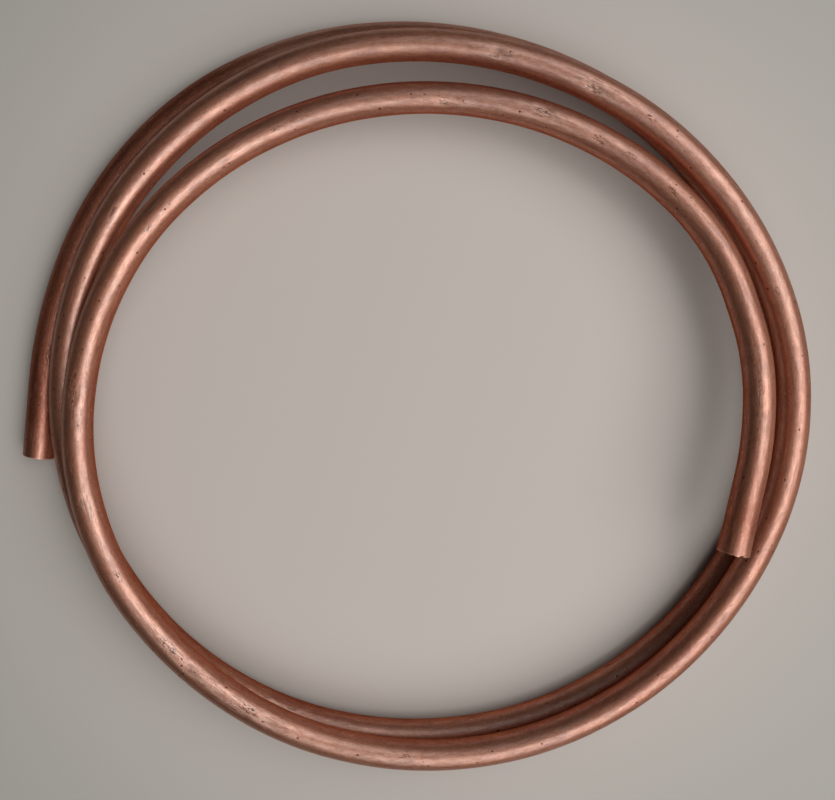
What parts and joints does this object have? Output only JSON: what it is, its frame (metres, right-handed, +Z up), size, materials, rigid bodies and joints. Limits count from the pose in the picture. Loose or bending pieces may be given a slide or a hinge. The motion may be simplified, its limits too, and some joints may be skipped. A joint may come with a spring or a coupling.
{
  "type": "copper tube coil",
  "caption": "Loose hand-bent coil of round copper tube, open at both cut ends, to be cut and bent into pipe runs.",
  "frame": {"origin": "centre of the coil's bounding box in plan, on the floor it lies on", "axes": "+Z up through the eye of the coil; +X towards the side where the upper cut end stands over the lower turns; +Y towards the side where the top turn stands off inside the ring"},
  "size_m": [0.3658, 0.3466, 0.0456],
  "materials": {
    "copper": "satin, oxidised brown with brighter rubbed patches"
  },
  "bodies": {
    "root": {"copper_tube": "copper"}
  },
  "joints": []
}
